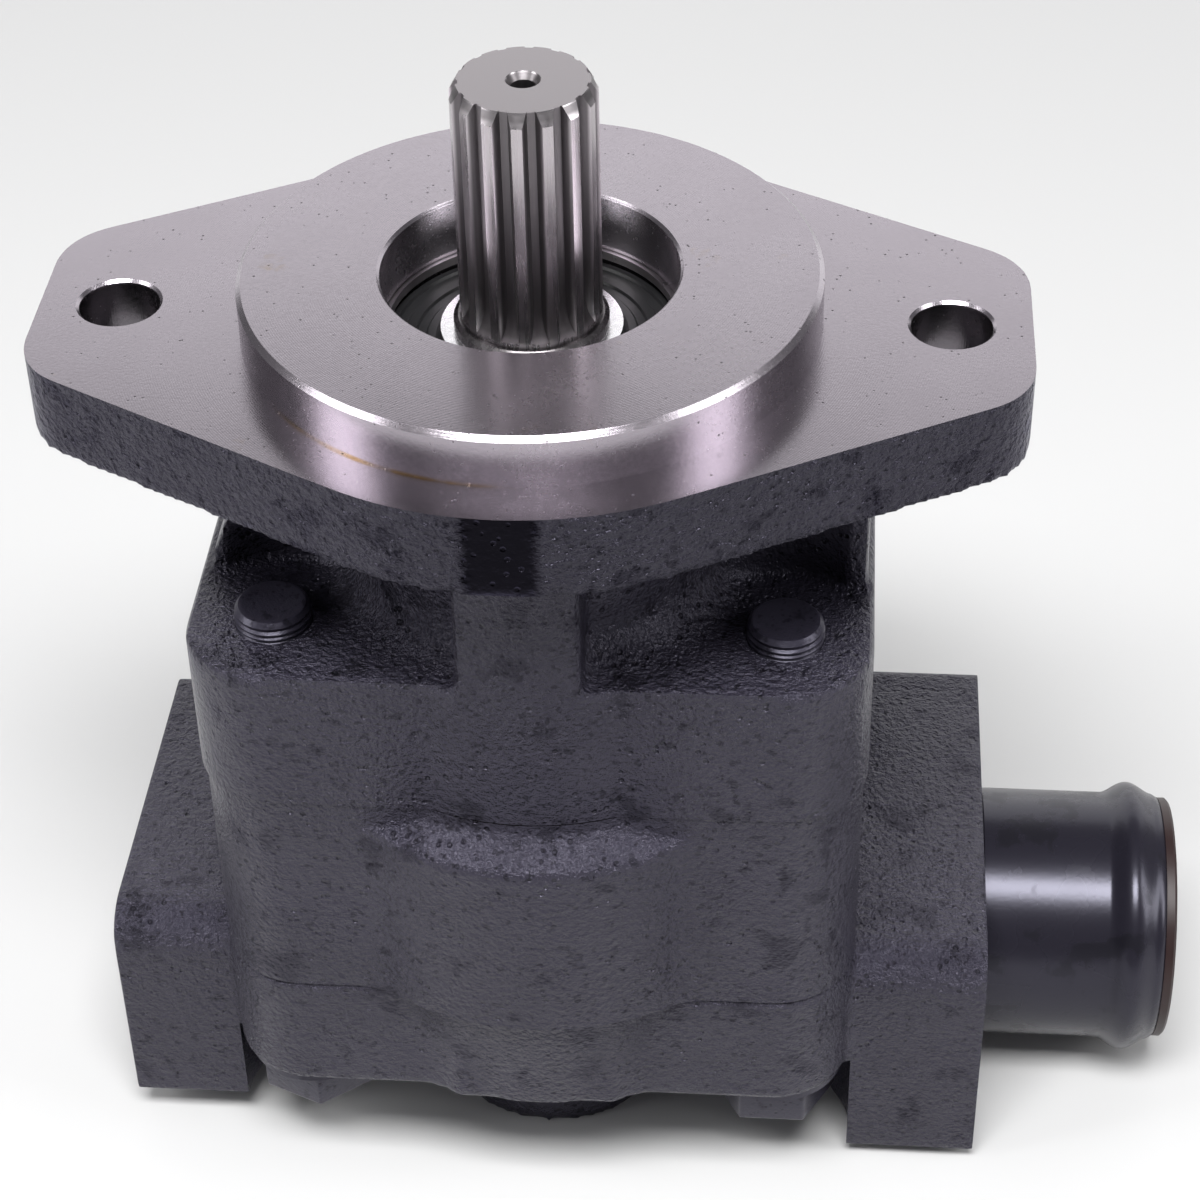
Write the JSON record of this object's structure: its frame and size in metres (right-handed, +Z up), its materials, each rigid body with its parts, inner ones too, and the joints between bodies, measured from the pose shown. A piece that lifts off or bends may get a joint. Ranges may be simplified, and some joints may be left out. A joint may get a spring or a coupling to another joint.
{
  "type": "external gear pump",
  "caption": "External gear pump with a two-bolt flange, round pilot, splined shaft, beaded side inlet tube and flanged outlet pad.",
  "frame": {"origin": "where the drive shaft's axis meets the mounting face of the flange, below the pilot", "axes": "+Z up the drive shaft away from the pump body, +X along the inlet tube and through the two flange holes, -Y towards the front, the driven gear lies at +Y"},
  "size_m": [0.2128, 0.1603, 0.23],
  "materials": {
    "painted_casting": "satin black paint on rough cast iron, bare machined iron on the mounting face and pilot",
    "painted_tube": "satin black coating on smooth steel tube",
    "black_bolt": "black painted steel",
    "ground_steel": "ground and hobbed steel, lightly oiled",
    "bronze": "machined bearing bronze",
    "black_rubber": "moulded nitrile rubber",
    "white_backup": "moulded plastic backup ring",
    "red_plastic": "moulded polyethylene dust plug"
  },
  "bodies": {
    "housing": {"shaft_end_cover": "painted_casting", "gear_housing": "painted_casting", "port_end_cover": "painted_casting", "through_bolts": "black_bolt", "bolt_washers": "black_bolt", "housing_dowels": "ground_steel", "front_body_seal": "black_rubber", "rear_body_seal": "black_rubber", "front_thrust_plate": "bronze", "rear_thrust_plate": "bronze", "front_pressure_seal": "black_rubber", "rear_pressure_seal": "black_rubber", "front_backup_seal": "white_backup", "rear_backup_seal": "white_backup", "shaft_seal": "black_rubber", "seal_case": "ground_steel", "seal_garter_spring": "ground_steel", "seal_retaining_ring": "ground_steel", "inlet_tube": "painted_tube", "inlet_tube_oring": "black_rubber", "inlet_dust_plug": "red_plastic", "outlet_dust_plug": "red_plastic", "drive_front_bushing": "bronze", "drive_rear_bushing": "bronze", "driven_front_bushing": "bronze", "driven_rear_bushing": "bronze"},
    "drive_gear": {"drive_gear_shaft": "ground_steel"},
    "driven_gear": {"driven_gear_shaft": "ground_steel"}
  },
  "joints": [
    {"name": "drive_spin", "type": "hinge", "parent": "housing", "child": "drive_gear", "pos_m": [0, 0, 0], "axis": [0, 0, 1], "continuous": true},
    {"name": "driven_spin", "type": "hinge", "parent": "housing", "child": "driven_gear", "pos_m": [0, 0.0508, 0], "axis": [0, 0, 1], "continuous": true}
  ],
  "couplings": [
    {"joint": "driven_spin", "follows": "drive_spin", "ratio": -1}
  ]
}
